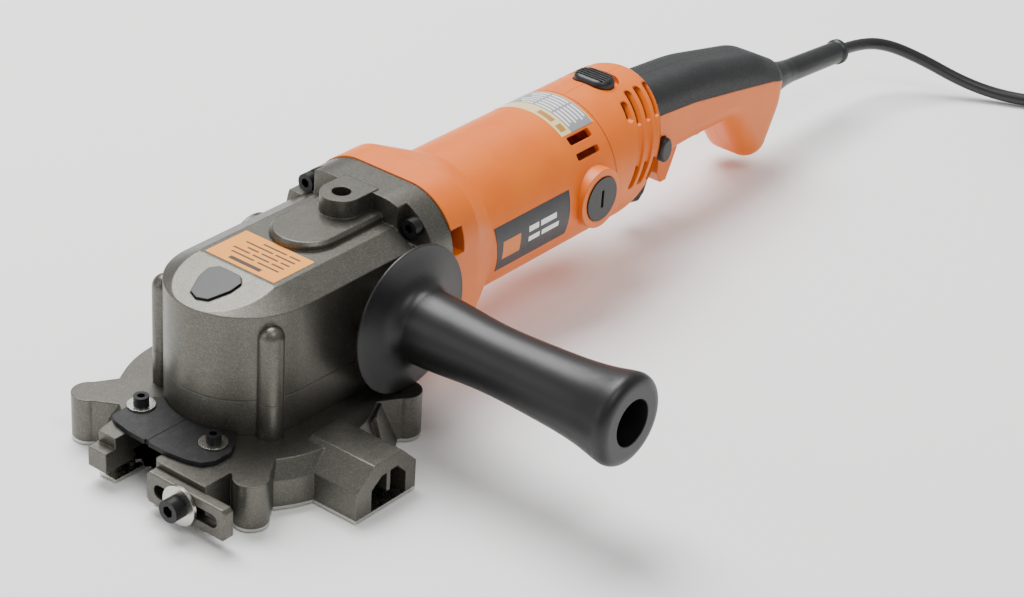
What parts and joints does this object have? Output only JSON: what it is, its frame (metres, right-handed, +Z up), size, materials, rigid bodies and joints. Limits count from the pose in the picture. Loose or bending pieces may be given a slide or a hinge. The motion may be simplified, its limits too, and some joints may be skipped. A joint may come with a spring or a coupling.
{
  "type": "rebar cutter",
  "caption": "Hand-held electric rebar cutter: bar mouth and toothed disc in a round guard, gear head, side handle, barrel motor, rear handle with trigger, mains cord.",
  "frame": {"origin": "on the disc's spindle axis, at the underside of the guard plate", "axes": "+X back along the motor axis to the rear handle, +Y to the tool's left, side handle to -Y, +Z up"},
  "size_m": [0.6549, 0.2565, 0.0974],
  "materials": {
    "painted_casting": "metallic grey paint",
    "orange_shell": "fine texture",
    "soft_grip": "fine grain",
    "black_plastic": "satin",
    "black_rubber": "matt",
    "cord_rubber": "satin",
    "zinc_steel": "zinc plated",
    "black_steel": "black oxide",
    "ground_steel": "ground",
    "cast_steel": "as machined",
    "core_steel": "laminated",
    "copper_wire": "enamelled wire",
    "brass_metal": "bright",
    "carbon_block": "graphite",
    "printed_label": "printed film",
    "metal_label": "printed plate",
    "silver_label": "printed film"
  },
  "bodies": {
    "tool_body": {"blade_guard": "painted_casting", "guard_plate": "zinc_steel", "guard_plate_screws": "zinc_steel", "mouth_flap_left": "black_rubber", "mouth_flap_right": "black_rubber", "flap_washers": "zinc_steel", "flap_screws": "black_steel", "stop_washer": "zinc_steel", "stop_screw": "black_steel", "gearbox_base": "painted_casting", "gear_housing": "painted_casting", "gearbox_screws": "black_steel", "flange_screws": "black_steel", "info_label": "printed_label", "spindle_bearings": "ground_steel", "intermediate_bearings": "ground_steel", "motor_bearings": "ground_steel", "side_handle": "black_plastic", "side_handle_stud": "zinc_steel", "motor_housing": "orange_shell", "name_plate": "metal_label", "warning_label": "silver_label", "stator_core": "core_steel", "field_coils": "copper_wire", "brush_caps": "black_plastic", "brush_holders": "brass_metal", "carbon_brushes": "carbon_block", "rear_housing_left": "orange_shell", "rear_housing_right": "orange_shell", "grip_left": "soft_grip", "grip_right": "soft_grip", "clamshell_screws": "black_steel", "trigger_pin": "ground_steel", "switch_module": "black_plastic", "cord_guard": "cord_rubber", "cord": "cord_rubber", "cord_coil": "cord_rubber", "plug": "cord_rubber", "plug_pins": "brass_metal"},
    "spindle_group": {"spindle": "ground_steel", "inner_flange": "ground_steel", "outer_flange": "ground_steel", "blade_bolt": "black_steel", "blade": "ground_steel", "spur_gear": "cast_steel"},
    "intermediate_group": {"intermediate_shaft": "ground_steel", "spur_pinion": "cast_steel", "bevel_gear": "cast_steel"},
    "armature_group": {"armature_shaft": "ground_steel", "armature_core": "core_steel", "armature_windings": "copper_wire", "commutator": "brass_metal", "fan": "black_plastic", "bevel_pinion": "cast_steel"},
    "trigger_lever": {"trigger": "black_plastic"},
    "lock_on": {"lock_on_button": "black_plastic"},
    "slide": {"thumb_slide": "black_plastic"},
    "spindle_lock": {"spindle_lock_button": "black_plastic"},
    "bar_stop": {"stop_bar": "zinc_steel"}
  },
  "joints": [
    {"name": "armature_spin", "type": "hinge", "parent": "tool_body", "child": "armature_group", "pos_m": [0.13, 0, 0.0562], "axis": [1, 0, 0], "continuous": true},
    {"name": "intermediate_spin", "type": "hinge", "parent": "tool_body", "child": "intermediate_group", "pos_m": [0.03525, 0, 0.05], "axis": [0, 0, 1], "continuous": true},
    {"name": "spindle_spin", "type": "hinge", "parent": "tool_body", "child": "spindle_group", "pos_m": [0, 0, 0.03], "axis": [0, 0, 1], "continuous": true},
    {"name": "trigger_pull", "type": "hinge", "parent": "tool_body", "child": "trigger_lever", "pos_m": [0.262, 0, 0.0454], "axis": [0, -1, 0], "range_deg": [0, 8], "stiffness_Nm_per_rad": 0.6, "springref_deg": -8.59},
    {"name": "lock_on_press", "type": "slide", "parent": "tool_body", "child": "lock_on", "axis": [0, 1, 0], "range_m": [0, 0.003], "stiffness_N_per_m": 300, "springref_m": -0.003},
    {"name": "thumb_slide_move", "type": "slide", "parent": "tool_body", "child": "slide", "axis": [1, 0, 0], "range_m": [0, 0.003]},
    {"name": "spindle_lock_press", "type": "slide", "parent": "tool_body", "child": "spindle_lock", "axis": [0, 0, -1], "range_m": [0, 0.005], "stiffness_N_per_m": 300, "springref_m": -0.004},
    {"name": "bar_stop_slide", "type": "slide", "parent": "tool_body", "child": "bar_stop", "axis": [0, 1, 0], "range_m": [-0.008, 0.012]}
  ],
  "couplings": [
    {"joint": "intermediate_spin", "follows": "armature_spin", "ratio": -0.33333},
    {"joint": "spindle_spin", "follows": "armature_spin", "ratio": 0.14141}
  ]
}
